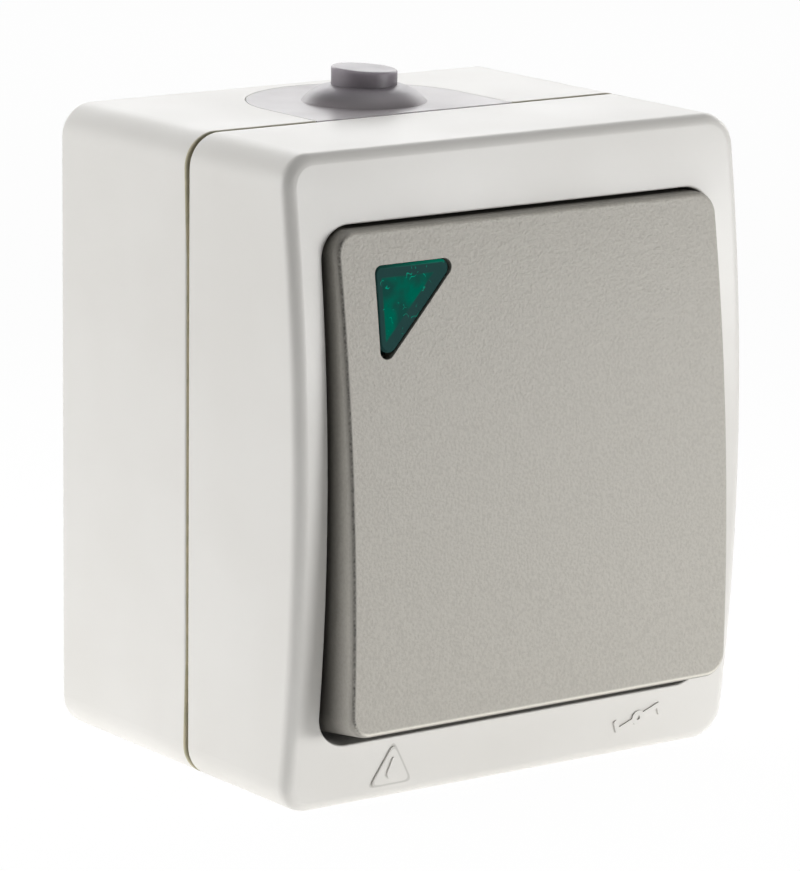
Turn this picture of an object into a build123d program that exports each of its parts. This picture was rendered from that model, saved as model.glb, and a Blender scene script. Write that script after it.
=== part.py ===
from build123d import *
import os
from math import cos, radians, sin, sqrt, tan

# Splash-proof surface switch: one large rocker works a two-way (changeover) contact.
# Origin at the middle of the back face, which lies against the wall. +X right, +Z up, front -Y.
# Depths are measured forward from the back face, in millimetres. The rocker rests with its top in.

# Housing outline and walls
box_width = 65.0
box_height = 76.8
corner_radius = 4.0
wall = 2.0
back_wall = 2.2
box_depth = 27.65
back_edge_round = 1.0
rim_round = 0.3
slip = 0.1

# Seam between box and cover
seam_gap = 0.5
lip_inset = 0.8
lip_height = 2.2
gasket_thickness = 1.0

# Fixing holes and rear cable knock-out in the back wall
fixing_spacing = 60.0
fixing_radius = 3.0
collar_width = 2.2
collar_height = 1.2
knockout_radius = 10.0
knockout_drop = 12.0
knockout_groove = 1.0
knockout_depth = 1.2

# Cable gland in the top wall
gland_half_width = 14.3
gland_back_margin = 0.5
tongue_reach = 0.9
tongue_groove = 0.8
dome_radius = 7.6
dome_height = 2.0
dome_bulge = 0.3
nipple_radius = 4.0
nipple_height = 2.0
nipple_round = 0.3
nipple_front_slant = 2.2
nipple_side_slant = 3.0
gland_skin = 1.0

# Front cover
cover_depth = 19.95
cover_crown = 3.1
cover_lean = 0.25
front_round = 1.5
side_band = 4.25
top_band = 8.25
bottom_band = 7.7
opening_radius = 4.0
opening_round = 0.25
well_wall = 1.2
well_floor_thickness = 1.6
floor_clearance = 1.0
mark_height = 0.2
mark_stroke = 0.62
mark_corner = 0.5
mark_centre_z = -34.0
drop_mark_x = -17.45
drop_mark_width = 6.0
drop_mark_height = 5.2
drop_radius = 0.75
drop_tip_radius = 0.12
drop_length = 1.85
drop_margin = 0.7
way_mark_x = 18.9
way_mark_ring = 0.9
way_mark_arm = 2.6
way_mark_hook = 1.1
way_mark_slope = 22.0

# Rocker and its lens
pivot_setback = 4.1
rocker_tilt = 4.0
rocker_side_gap = 0.75
rocker_end_gap = 1.225
rocker_edge_height = 8.9
rocker_crown = 1.5
rocker_skirt = 9.65
rocker_draft = 3.5
rocker_wall = 1.8
rocker_radius = 2.7
rocker_round = 0.7
rib_thickness = 1.2
rib_depth = 3.0
window_leg = 12.15
window_side_inset = 5.04
window_top_inset = 4.17
window_corner = 1.0
lens_play = 0.12
lens_corner = 1.0
lens_foot_corner = 1.3
lens_bevel = 0.25
lens_recess = 0.15
lens_ledge = 0.9
lens_flange = 1.2
lens_flange_thickness = 1.0

# Tumbler that carries the rocker, with its sprung plunger
seat_height = 4.2
tumbler_half_width = 7.1
tumbler_half_height = 5.5
tumbler_below = 3.6
tumbler_side_gap = 0.3
trunnion_radius = 2.0
trunnion_play = 0.05
boss_half_width = 5.5
boss_half_height = 4.5
boss_wall = 1.6
tab_height = 4.0
tab_length = 3.6
stem_radius = 3.0
stem_reach = 17.0
bore_radius = 1.75
bore_depth = 12.0
plunger_play = 0.05
plunger_length = 8.5
plunger_gap = 0.1
spring_wire = 0.2
spring_play = 0.25
spring_pitch = 1.15

# Changeover contact
blade_tilt = 7.5
blade_width = 6.0
blade_thickness = 1.2
blade_overhang = 2.2
contact_arm = 12.0
contact_radius = 1.9
fixed_contact_height = 0.9
moving_contact_height = 1.0
contact_dome = 4.0
contact_gap = 0.12
rivet_shank = 1.0
fulcrum_radius = 0.4
fulcrum_play = 0.1

# Terminals
strip_thickness = 0.8
strip_width = 5.2
clamp_x = 7.4
clamp_width = 7.0
clamp_length = 5.6
clamp_height = 11.0
clamp_gap = 1.4
clamp_play = 0.2
wire_height = 3.6
wire_radius = 1.8
terminal_screw_radius = 1.6
terminal_screw_lift = 0.4
terminal_head_radius = 2.7
terminal_head_height = 2.0
access_play = 0.5

# Mechanism base and bridge
base_wall = 1.6
base_floor_thickness = 1.8
base_depth = 18.5
base_radius = 2.0
pillar = 2.6
divider = 0.8
divider_lift = 0.2
bridge_thickness = 2.2
cheek_thickness = 2.8
cheek_half_height = 4.5
cheek_cap = 1.6
stem_clearance = 0.5
aperture_margin = 1.0
aperture_end_margin = 4.0
seal_thickness = 2.4
seal_land = 0.5
seal_width = 3.0
ear_setback = 9.0
ear_thickness = 2.5
ear_reach = 9.0
ear_height = 9.0
bridge_rivet_radius = 0.8
bridge_rivet_head = 1.5
bridge_rivet_head_height = 0.6

# Screws into the box's posts
screw_radius = 1.45
screw_thread_play = 0.05
screw_head_radius = 2.9
screw_head_height = 2.2
screw_bite = 8.0
screw_pass = 0.25
recess_width = 0.8
post_radius = 3.75
post_setback = 0.5
post_gap = 0.3
boss_radius = 4.2
head_pocket_play = 0.2
cover_screw_side_inset = 5.85
cover_screw_end_inset = 5.0

# Indicator lamp behind the lens
lamp_radius = 2.2
lamp_gap = 2.6
holder_radius = 3.3
holder_height = 5.0
holder_floor = 1.2
holder_play = 0.1
holder_floor_play = 0.3
lug_radius = 4.6
lead_radius = 0.5
lead_spread = 1.1
lead_hole_play = 0.1
lead_clearance = 1.2
lead_side_clearance = 0.6
lead_row = 1.4
lead_bend = 1.2
lead_dip = 1.4
resistor_radius = 1.2
resistor_length = 5.5

# Housing places
inner_width = box_width - 2 * wall
inner_height = box_height - 2 * wall
inner_radius = corner_radius - wall
top = box_height / 2
lip_depth = box_depth + lip_height
shoulder_depth = lip_depth + gasket_thickness
cover_rear = box_depth + seam_gap
cover_edge = box_depth + cover_depth
cover_foremost = cover_edge + cover_crown + cover_lean
opening_width = box_width - 2 * side_band
opening_height = box_height - top_band - bottom_band
opening_centre = (bottom_band - top_band) / 2
gland_depth = back_wall + gland_back_margin + gland_half_width
gland_neck = top + dome_height
nipple_spare = nipple_radius * tan(radians(nipple_front_slant + nipple_side_slant))

# Rocker places
pivot_depth = cover_edge - pivot_setback
rocker_width = opening_width - 2 * rocker_side_gap
rocker_height = opening_height - 2 * rocker_end_gap
rocker_rear = rocker_edge_height - rocker_skirt
tilt_rise = sin(radians(rocker_tilt))
well_floor = pivot_depth + rocker_rear - rocker_height / 2 * tilt_rise - floor_clearance
well_floor_rear = well_floor - well_floor_thickness
window_left = window_side_inset - rocker_width / 2
window_top = rocker_height / 2 - window_top_inset
flange_corner = window_corner + lens_flange
lens_seat = rocker_edge_height - lens_ledge
lens_rear = lens_seat - lens_flange_thickness

# Mechanism places, from front to back
bridge_front = well_floor_rear - seal_thickness
bridge_rear = bridge_front - bridge_thickness
base_rear = bridge_rear - base_depth
base_floor = base_rear + base_floor_thickness
strip_front = base_floor + strip_thickness
contact_top = strip_front + fixed_contact_height
blade_drop = contact_arm * sin(radians(blade_tilt)) + moving_contact_height * cos(radians(blade_tilt))
dome_rise = contact_dome * (1 - cos(radians(blade_tilt)))
fulcrum_depth = contact_top + contact_gap + blade_drop + dome_rise
plunger_reach = pivot_depth - fulcrum_depth - blade_thickness - plunger_gap
wire_depth = strip_front + wire_height
clamp_top = strip_front + clamp_height
clamp_z = contact_arm + blade_overhang + clamp_gap + clamp_length / 2
base_inner_half_height = clamp_z + clamp_length / 2 + clamp_play
base_inner_half_width = clamp_x + clamp_width / 2 + clamp_play + pillar
base_width = 2 * (base_inner_half_width + base_wall)
base_height = 2 * (base_inner_half_height + base_wall)
pillar_x = base_inner_half_width - pillar / 2
pillar_z = base_inner_half_height - pillar / 2
cheek_inner = tumbler_half_width + tumbler_side_gap
cheek_outer = cheek_inner + cheek_thickness
cheek_top = pivot_depth + trunnion_radius + cheek_cap
aperture_width = 2 * (cheek_outer + aperture_margin)
aperture_height = 2 * (cheek_half_height + aperture_end_margin)
ear_rear = base_rear + ear_setback
ear_front = ear_rear + ear_thickness
ear_screw_x = base_width / 2 + ear_reach / 2
screw_hole = screw_radius + screw_pass
pilot_hole = screw_radius + screw_thread_play
post_top = box_depth - post_setback
boss_rear = post_top + post_gap
head_pocket = screw_head_height + head_pocket_play
head_seat = well_floor - head_pocket
cover_screw_x = opening_width / 2 - cover_screw_side_inset
cover_screw_z = opening_height / 2 - cover_screw_end_inset
lamp_beside_base = base_width / 2 + lead_side_clearance + lead_radius + lead_spread
lamp_x = min(window_left + window_leg / 3, -lamp_beside_base)
lamp_z = window_top - window_leg / 3
lamp_base = bridge_front + holder_floor
lamp_tip = pivot_depth + lens_rear - window_top * tilt_rise - lamp_gap

# Pairs of places that several pieces share
fixing_places = [(0, fixing_spacing / 2), (0, -fixing_spacing / 2)]
ear_places = [(ear_screw_x, 0), (-ear_screw_x, 0)]
cover_screw_places = [(cover_screw_x, cover_screw_z), (-cover_screw_x, -cover_screw_z)]
clamp_places = [(clamp_x, clamp_z), (-clamp_x, clamp_z), (-clamp_x, -clamp_z)]
rivet_places = [(pillar_x, pillar_z), (-pillar_x, -pillar_z)]
contact_places = [(0, contact_arm), (0, -contact_arm)]


def front(depth, x=0, z=0):
    """The upright plane that faces forward, this far in front of the wall."""
    return Plane(origin=(x, -depth, z), x_dir=(1, 0, 0), z_dir=(0, -1, 0))


def side_of(frame):
    """The plane across a frame, with forward as its first axis and up as its second."""
    return Plane(origin=frame.origin, x_dir=frame.z_dir, z_dir=frame.x_dir * -1)


def forward(frame):
    """The line along which a frame faces."""
    return Axis(frame.origin, frame.z_dir)


wall_frame = front(0)
rocker_frame = front(pivot_depth).rotated((-rocker_tilt, 0, 0))
blade_frame = front(fulcrum_depth).rotated((blade_tilt, 0, 0))


def runs_forward(edge, frame):
    """Whether an edge runs from front to back of a frame rather than across it."""
    return abs((edge % 0.5).dot(frame.z_dir)) > sqrt(0.5)


def crowned_block(frame, width, height, rear, edge, crown, radius, lean=0, draft=0):
    """A block with rounded corners whose front face bows forward at mid-height.

    The lean brings the lower front edge forward and takes the upper one back. The draft spreads
    the upper and lower walls towards the rear."""
    half = height / 2
    low_edge = edge + lean
    high_edge = edge - lean
    spread = tan(radians(draft))
    low_rear = -half - (low_edge - rear) * spread
    high_rear = half + (high_edge - rear) * spread
    with BuildPart() as block:
        with BuildSketch(side_of(frame)):
            with BuildLine():
                ThreePointArc((low_edge, -half), (edge + crown, 0), (high_edge, half))
                Polyline((high_edge, half), (rear, high_rear), (rear, low_rear), (low_edge, -half))
            make_face()
        extrude(amount=width / 2, both=True)
        fillet(block.edges().filter_by(lambda edge: runs_forward(edge, frame)), radius)
    return block.part


def screw(seat, shank_radius, shank_length, head_radius, head_height):
    """A pan-head screw with a cross recess: head in front of its seat, shank behind it."""
    with BuildPart() as fastener:
        with BuildSketch(seat):
            Circle(head_radius)
        extrude(amount=head_height)
        fillet(fastener.edges().group_by(forward(seat))[-1], head_height / 3)
        with BuildSketch(seat):
            Circle(shank_radius)
        extrude(amount=-shank_length)
        with BuildSketch(seat.offset(head_height)):
            Rectangle(head_radius, recess_width)
            Rectangle(recess_width, head_radius)
        extrude(amount=-head_height / 2, mode=Mode.SUBTRACT)
    return fastener.part


def gland_outline(half_width, front_depth):
    """The gland's shape from above: a round back and straight sides that run forward."""
    with BuildSketch() as outline:
        with BuildLine():
            ThreePointArc((-half_width, -gland_depth), (0, half_width - gland_depth),
                          (half_width, -gland_depth))
            Polyline((half_width, -gland_depth), (half_width, -front_depth),
                     (-half_width, -front_depth), (-half_width, -gland_depth))
        make_face()
    return outline.sketch


def lens_outline(grow, corner, foot_corner):
    """A right triangle with rounded corners, its sides this far outside the lens window's.

    The foot, its lowest corner, may be rounder than the other two."""
    left = window_left - grow
    high = window_top + grow
    leg = window_leg + (2 + sqrt(2)) * grow
    with BuildSketch() as outline:
        with BuildLine():
            Polyline((left, high), (left + leg, high), (left, high - leg), close=True)
        make_face()
        fillet(outline.vertices().sort_by(Axis.Y)[1:], corner)
        fillet(outline.vertices().sort_by(Axis.Y)[0], foot_corner)
    return outline.sketch


def drop_mark():
    """Moulded sign for splash proof: the triangular plate under the drop."""
    half_width = drop_mark_width / 2
    low = mark_centre_z - drop_mark_height / 2
    with BuildSketch() as sign:
        with BuildLine():
            Polyline((drop_mark_x - half_width, low), (drop_mark_x + half_width, low),
                     (drop_mark_x, low + drop_mark_height), close=True)
        make_face()
        fillet(sign.vertices(), mark_corner)
    return sign.sketch


def drop():
    """The drop of water on the triangular plate."""
    drop_low = mark_centre_z - drop_mark_height / 2 + drop_margin + drop_radius
    with BuildSketch() as sign:
        with Locations((drop_mark_x, drop_low)):
            Circle(drop_radius)
        with Locations((drop_mark_x, drop_low + drop_length)):
            Circle(drop_tip_radius)
        make_hull()
    return sign.sketch


def way_mark():
    """Moulded sign for a changeover switch: a ring with a hooked arm to each side."""
    with BuildSketch() as sign:
        with Locations((way_mark_x, mark_centre_z)):
            Circle(way_mark_ring)
            Circle(way_mark_ring - mark_stroke, mode=Mode.SUBTRACT)
        for turn in (way_mark_slope, way_mark_slope + 180):
            arm = Vector(1, 0).rotate(Axis.Z, turn)
            hook = Vector(0, 1).rotate(Axis.Z, turn)
            centre = Vector(way_mark_x, mark_centre_z)
            root = centre + arm * (way_mark_ring - mark_stroke / 2)
            tip = root + arm * way_mark_arm
            with Locations((root + tip) / 2):
                SlotCenterToCenter(way_mark_arm, mark_stroke, rotation=turn)
            with Locations(tip - hook * way_mark_hook / 2):
                SlotCenterToCenter(way_mark_hook, mark_stroke, rotation=turn + 90)
    return sign.sketch


def raised(sign, height):
    """A sign that stands this far proud of the cover's crowned front."""
    with BuildPart() as mark:
        with BuildSketch(front(cover_edge - wall / 2)):
            add(sign)
        extrude(amount=cover_foremost + height - cover_edge + wall / 2)
        add(crowned_block(wall_frame, box_width, box_height, cover_rear, cover_edge + height,
                          cover_crown, corner_radius, lean=cover_lean), mode=Mode.INTERSECT)
    return mark.part


os.makedirs("parts", exist_ok=True)

# Rear box: open moulded tray with a lip round its rim and posts for the screws
with BuildPart() as rear_box:
    with BuildSketch(wall_frame):
        RectangleRounded(box_width, box_height, corner_radius)
    extrude(amount=box_depth)
    fillet(rear_box.faces().sort_by(Axis.Y)[-1].edges(), back_edge_round)
    fillet(rear_box.faces().sort_by(Axis.Y)[0].edges(), rim_round)
    with BuildSketch(front(back_wall)):
        RectangleRounded(inner_width, inner_height, inner_radius)
    extrude(amount=box_depth - back_wall, mode=Mode.SUBTRACT)
    with BuildSketch(front(box_depth)):
        RectangleRounded(box_width - 2 * lip_inset, box_height - 2 * lip_inset, corner_radius - lip_inset)
        RectangleRounded(inner_width, inner_height, inner_radius, mode=Mode.SUBTRACT)
    extrude(amount=lip_height)
    with BuildSketch(front(back_wall)):
        with Locations(*ear_places):
            Circle(post_radius)
    extrude(amount=ear_rear - back_wall)
    with BuildSketch(front(back_wall)):
        with Locations(*cover_screw_places):
            Circle(post_radius)
    extrude(amount=post_top - back_wall)
    with BuildSketch(front(back_wall)):
        with Locations(*fixing_places):
            Circle(fixing_radius + collar_width)
    extrude(amount=collar_height)
    with Locations(*[front(ear_rear, x, z) for x, z in ear_places]):
        Hole(pilot_hole, depth=screw_bite)
    with Locations(*[front(post_top, x, z) for x, z in cover_screw_places]):
        Hole(pilot_hole, depth=screw_bite)
    with Locations(*[front(back_wall + collar_height, x, z) for x, z in fixing_places]):
        Hole(fixing_radius, depth=back_wall + collar_height)
    with BuildSketch(wall_frame):
        with Locations((0, -knockout_drop)):
            Circle(knockout_radius)
            Circle(knockout_radius - knockout_groove, mode=Mode.SUBTRACT)
    extrude(amount=knockout_depth, mode=Mode.SUBTRACT)
    with BuildSketch(Plane.XY.offset(top - wall)):
        add(gland_outline(gland_half_width, lip_depth))
    extrude(amount=wall, mode=Mode.SUBTRACT)
    with BuildSketch(Plane.XY.offset(top - (wall + tongue_groove) / 2)):
        add(gland_outline(gland_half_width + tongue_reach, lip_depth))
    extrude(amount=tongue_groove, mode=Mode.SUBTRACT)
rear_box.part.label = "rear_box"
export_step(rear_box.part, "parts/rear_box.step")

# Cable gland: soft plate that slides into the slot in the top wall, with a closed nipple to cut open
gland_axis = Axis((0, -gland_depth, 0), (0, 0, 1))
with BuildPart() as cable_gland:
    with BuildSketch(Plane.XY.offset(top - wall)):
        add(gland_outline(gland_half_width - slip, box_depth))
    extrude(amount=wall)
    with BuildSketch(Plane.XY.offset(top - (wall + tongue_groove) / 2 + slip)):
        add(gland_outline(gland_half_width + tongue_reach - slip, box_depth))
    extrude(amount=tongue_groove - 2 * slip)
    with BuildSketch(Plane.XY.offset(top - wall)):
        with Locations((0, -(box_depth + lip_depth) / 2)):
            Rectangle(2 * (gland_half_width - slip), lip_height)
    extrude(amount=wall - lip_inset)
    with BuildSketch(front(gland_depth)):
        with BuildLine():
            dome_foot = (dome_radius, top)
            dome_neck = (nipple_radius, gland_neck)
            dome_middle = ((dome_radius + nipple_radius) / 2 + dome_bulge,
                           (top + gland_neck) / 2 + dome_bulge)
            ThreePointArc(dome_foot, dome_middle, dome_neck)
            blank_top = gland_neck + nipple_height + nipple_spare
            Polyline(dome_neck, (nipple_radius, blank_top), (0, blank_top), (0, top - wall),
                     (dome_radius, top - wall), dome_foot)
        make_face()
    revolve(axis=gland_axis)
    nipple_cut = Plane((0, -gland_depth, gland_neck + nipple_height))
    with BuildSketch(nipple_cut.rotated((nipple_front_slant, nipple_side_slant, 0))):
        Circle(dome_radius)
    extrude(amount=dome_radius, mode=Mode.SUBTRACT)
    fillet(cable_gland.faces().sort_by(Axis.Z)[-1].edges(), nipple_round)
    with BuildSketch(front(gland_depth)):
        with BuildLine():
            Polyline((0, top - wall), (dome_radius - gland_skin, top - wall),
                     (dome_radius - gland_skin, top - gland_skin),
                     (nipple_radius - gland_skin, gland_neck - gland_skin),
                     (nipple_radius - gland_skin, gland_neck + nipple_height - gland_skin),
                     (0, gland_neck + nipple_height - gland_skin), close=True)
        make_face()
    revolve(axis=gland_axis, mode=Mode.SUBTRACT)
cable_gland.part.label = "cable_gland"
export_step(cable_gland.part, "parts/cable_gland.step")

# Gasket: soft ring on the box's lip, pressed by the cover's shoulder
with BuildPart() as box_gasket:
    with BuildSketch(front(lip_depth)):
        RectangleRounded(box_width - 2 * lip_inset, box_height - 2 * lip_inset, corner_radius - lip_inset)
        RectangleRounded(inner_width, inner_height, inner_radius, mode=Mode.SUBTRACT)
    extrude(amount=gasket_thickness)
box_gasket.part.label = "box_gasket"
export_step(box_gasket.part, "parts/box_gasket.step")

# Front cover: crowned shell with a well for the rocker and screw bosses under the well's floor
cover_skin = crowned_block(wall_frame, box_width, box_height, cover_rear, cover_edge, cover_crown,
                           corner_radius, lean=cover_lean)
cover_room = crowned_block(wall_frame, inner_width, inner_height, cover_rear, cover_edge - wall,
                           cover_crown, inner_radius, lean=cover_lean)
with BuildPart() as well_block:
    with BuildSketch(front(well_floor_rear, z=opening_centre)):
        RectangleRounded(opening_width + 2 * well_wall, opening_height + 2 * well_wall,
                         opening_radius + well_wall)
    extrude(amount=cover_foremost - well_floor_rear)
    with BuildSketch(front(boss_rear)):
        with Locations(*cover_screw_places):
            Circle(boss_radius)
    extrude(amount=well_floor - boss_rear)
    add(cover_skin, mode=Mode.INTERSECT)
with BuildPart() as front_cover:
    add(cover_skin)
    fillet(front_cover.faces().sort_by(Axis.Y)[0].edges(), front_round)
    fillet(front_cover.faces().sort_by(Axis.Y)[-1].edges(), rim_round)
    add(cover_room, mode=Mode.SUBTRACT)
    add(well_block.part)
    with BuildSketch(front(well_floor, z=opening_centre)):
        RectangleRounded(opening_width, opening_height, opening_radius)
    extrude(amount=cover_foremost - well_floor, mode=Mode.SUBTRACT)
    pierced = front_cover.faces().filter_by(lambda face: len(face.inner_wires()) == 1)
    fillet(pierced.sort_by(Axis.Y)[0].inner_wires()[0].edges(), opening_round)
    add(raised(drop_mark(), mark_height))
    add(raised(drop(), 2 * mark_height))
    add(raised(way_mark(), mark_height))
    with BuildSketch(front(cover_rear)):
        RectangleRounded(box_width - 2 * (lip_inset - slip), box_height - 2 * (lip_inset - slip),
                         corner_radius - lip_inset + slip)
        RectangleRounded(inner_width, inner_height, inner_radius, mode=Mode.SUBTRACT)
    extrude(amount=shoulder_depth - cover_rear, mode=Mode.SUBTRACT)
    with BuildSketch(front(well_floor_rear)):
        RectangleRounded(aperture_width, aperture_height, base_radius)
        with Locations((lamp_x, lamp_z)):
            Circle(holder_radius + holder_floor_play)
    extrude(amount=well_floor_thickness, mode=Mode.SUBTRACT)
    with Locations(*[front(well_floor, x, z) for x, z in cover_screw_places]):
        CounterBoreHole(screw_hole, screw_head_radius + head_pocket_play, head_pocket,
                        depth=well_floor - boss_rear)
front_cover.part.label = "front_cover"
export_step(front_cover.part, "parts/front_cover.step")

# Cover screws: reach from the well's floor into the box's corner posts
with BuildPart() as cover_screws:
    for x, z in cover_screw_places:
        add(screw(front(head_seat, x, z), screw_radius, head_seat - post_top + screw_bite,
                  screw_head_radius, screw_head_height))
cover_screws.part.label = "cover_screws"
export_step(cover_screws.part, "parts/cover_screws.step")

# Mechanism base: moulded tray for the contacts and terminals, with an ear to each side
with BuildPart() as mechanism_base:
    with BuildSketch(front(base_rear)):
        RectangleRounded(base_width, base_height, base_radius)
    extrude(amount=base_depth)
    with BuildSketch(front(base_floor)):
        Rectangle(2 * base_inner_half_width, 2 * base_inner_half_height)
        with Locations(*rivet_places):
            Rectangle(pillar, pillar, mode=Mode.SUBTRACT)
    extrude(amount=bridge_rear - base_floor, mode=Mode.SUBTRACT)
    divider_z = contact_arm + blade_overhang + clamp_gap / 2
    with BuildSketch(front(strip_front + divider_lift)):
        with Locations((0, divider_z), (0, -divider_z)):
            Rectangle(2 * base_inner_half_width, divider)
    extrude(amount=clamp_height)
    with BuildSketch(front(ear_rear)):
        for side in (1, -1):
            with Locations((side * (base_width / 2 + ear_reach / 2), 0)):
                Rectangle(ear_reach, ear_height)
    extrude(amount=ear_thickness)
    with Locations(*[front(ear_front, x, z) for x, z in ear_places]):
        Hole(screw_hole, depth=ear_thickness)
    with Locations(*[front(bridge_rear, x, z) for x, z in rivet_places]):
        Hole(bridge_rivet_radius + screw_thread_play, depth=base_depth)
    for x, z in clamp_places:
        end = base_height / 2 if z > 0 else -base_height / 2
        inward = -base_wall if z > 0 else base_wall
        with BuildSketch(Plane.XY.offset(end)):
            with Locations((x, -wire_depth)):
                Circle(wire_radius)
        extrude(amount=inward, mode=Mode.SUBTRACT)
mechanism_base.part.label = "mechanism_base"
export_step(mechanism_base.part, "parts/mechanism_base.step")

# Mechanism screws: hold the base's ears on the box's posts
with BuildPart() as mechanism_screws:
    for x, z in ear_places:
        add(screw(front(ear_front, x, z), screw_radius, ear_thickness + screw_bite,
                  screw_head_radius, screw_head_height))
mechanism_screws.part.label = "mechanism_screws"
export_step(mechanism_screws.part, "parts/mechanism_screws.step")

# Mechanism bridge: front plate with two bearing cheeks and a lug for the lamp
stem_swing = (pivot_depth - bridge_rear) * tilt_rise
with BuildPart() as mechanism_bridge:
    with BuildSketch(front(bridge_rear)):
        with Locations((lamp_x, lamp_z), (-pillar_x, pillar_z)):
            Circle(lug_radius)
        make_hull()
    extrude(amount=bridge_thickness)
    with BuildSketch(front(bridge_rear)):
        RectangleRounded(base_width, base_height, base_radius)
    extrude(amount=bridge_thickness)
    with BuildSketch(front(bridge_rear)):
        Rectangle(2 * (stem_radius + stem_clearance), 2 * (stem_radius + stem_swing + stem_clearance))
        with Locations(*clamp_places):
            Circle(terminal_head_radius + access_play)
    extrude(amount=bridge_thickness, mode=Mode.SUBTRACT)
    cheek_middle = (cheek_inner + cheek_outer) / 2
    with BuildSketch(front(bridge_front)):
        with Locations((cheek_middle, 0), (-cheek_middle, 0)):
            Rectangle(cheek_thickness, 2 * cheek_half_height)
    extrude(amount=cheek_top - bridge_front)
    with BuildSketch(side_of(front(pivot_depth))):
        Circle(trunnion_radius + trunnion_play)
    extrude(amount=cheek_outer, both=True, mode=Mode.SUBTRACT)
    with Locations(*[front(bridge_front, x, z) for x, z in rivet_places]):
        Hole(bridge_rivet_radius + screw_thread_play, depth=bridge_thickness)
    with Locations(*[front(bridge_front, lamp_x + side * lead_spread, lamp_z) for side in (1, -1)]):
        Hole(lead_radius + lead_hole_play, depth=bridge_thickness)
mechanism_bridge.part.label = "mechanism_bridge"
export_step(mechanism_bridge.part, "parts/mechanism_bridge.step")

# Bridge rivets: hold the bridge on the base at two corners
with BuildPart() as bridge_rivets:
    with BuildSketch(front(bridge_front)):
        with Locations(*rivet_places):
            Circle(bridge_rivet_head)
    extrude(amount=bridge_rivet_head_height)
    with BuildSketch(front(bridge_front)):
        with Locations(*rivet_places):
            Circle(bridge_rivet_radius)
    extrude(amount=base_rear - bridge_front)
bridge_rivets.part.label = "bridge_rivets"
export_step(bridge_rivets.part, "parts/bridge_rivets.step")

# Mechanism seal: soft ring between the bridge and the underside of the cover's well
with BuildPart() as mechanism_seal:
    with BuildSketch(front(bridge_front)):
        seal_inner_width = aperture_width + 2 * seal_land
        seal_inner_height = aperture_height + 2 * seal_land
        RectangleRounded(seal_inner_width + 2 * seal_width, seal_inner_height + 2 * seal_width,
                         base_radius + seal_width)
        RectangleRounded(seal_inner_width, seal_inner_height, base_radius, mode=Mode.SUBTRACT)
    extrude(amount=seal_thickness)
mechanism_seal.part.label = "mechanism_seal"
export_step(mechanism_seal.part, "parts/mechanism_seal.step")

# Common terminal: brass strip from its clamp to the middle, with a round-edged upright under the blade
with BuildPart() as common_terminal:
    strip_end = clamp_z + clamp_length / 2
    with BuildSketch(front(base_floor)):
        with Locations((clamp_x, (strip_end - strip_width / 2) / 2)):
            Rectangle(strip_width, strip_end + strip_width / 2)
        with Locations(((clamp_x - blade_width / 2) / 2, 0)):
            Rectangle(clamp_x + blade_width / 2, strip_width)
    extrude(amount=strip_thickness)
    with BuildSketch(side_of(wall_frame)):
        with Locations(((strip_front + fulcrum_depth) / 2, 0)):
            Rectangle(fulcrum_depth - strip_front, 2 * fulcrum_radius)
        with Locations((fulcrum_depth, 0)):
            Circle(fulcrum_radius)
    extrude(amount=blade_width / 2, both=True)
common_terminal.part.label = "common_terminal"
export_step(common_terminal.part, "parts/common_terminal.step")


def traveller_terminal(side):
    """A brass strip from a fixed contact to its clamp, above the middle (1) or below it (-1)."""
    strip_end = clamp_z + clamp_length / 2
    strip_start = contact_arm - strip_width / 2
    with BuildPart() as terminal:
        with BuildSketch(front(base_floor)):
            with Locations((-clamp_x / 2, side * contact_arm)):
                Rectangle(clamp_x + strip_width, strip_width)
            with Locations((-clamp_x, side * (strip_start + strip_end) / 2)):
                Rectangle(strip_width, strip_end - strip_start)
            with Locations((0, side * contact_arm)):
                Circle(rivet_shank, mode=Mode.SUBTRACT)
        extrude(amount=strip_thickness)
    return terminal.part


# Traveller terminals: brass strips that carry the fixed contacts
with BuildPart() as traveller_terminal_one:
    add(traveller_terminal(1))
traveller_terminal_one.part.label = "traveller_terminal_one"
export_step(traveller_terminal_one.part, "parts/traveller_terminal_one.step")

with BuildPart() as traveller_terminal_two:
    add(traveller_terminal(-1))
traveller_terminal_two.part.label = "traveller_terminal_two"
export_step(traveller_terminal_two.part, "parts/traveller_terminal_two.step")

# Fixed contacts: flat silver rivets in the traveller strips
with BuildPart() as fixed_contacts:
    with BuildSketch(front(strip_front)):
        with Locations(*contact_places):
            Circle(contact_radius)
    extrude(amount=fixed_contact_height)
    with BuildSketch(front(base_floor)):
        with Locations(*contact_places):
            Circle(rivet_shank - screw_thread_play)
    extrude(amount=strip_thickness)
fixed_contacts.part.label = "fixed_contacts"
export_step(fixed_contacts.part, "parts/fixed_contacts.step")

# Terminal clamps: brass blocks on the strips, with a wire hole along Z and a screw from the front
with BuildPart() as terminal_clamps:
    with BuildSketch(front(strip_front)):
        with Locations(*clamp_places):
            Rectangle(clamp_width, clamp_length)
    extrude(amount=clamp_height)
    with BuildSketch(Plane.XY):
        with Locations((clamp_x, -wire_depth), (-clamp_x, -wire_depth)):
            Circle(wire_radius)
    extrude(amount=base_height / 2, both=True, mode=Mode.SUBTRACT)
    with Locations(*[front(clamp_top, x, z) for x, z in clamp_places]):
        Hole(terminal_screw_radius + screw_thread_play, depth=clamp_top - wire_depth)
terminal_clamps.part.label = "terminal_clamps"
export_step(terminal_clamps.part, "parts/terminal_clamps.step")

# Terminal screws: backed out just far enough to hold a thin lead
with BuildPart() as terminal_screws:
    for x, z in clamp_places:
        terminal_shank = clamp_top + terminal_screw_lift - wire_depth - lead_radius - lead_hole_play
        add(screw(front(clamp_top + terminal_screw_lift, x, z), terminal_screw_radius, terminal_shank,
                  terminal_head_radius, terminal_head_height))
terminal_screws.part.label = "terminal_screws"
export_step(terminal_screws.part, "parts/terminal_screws.step")

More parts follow.
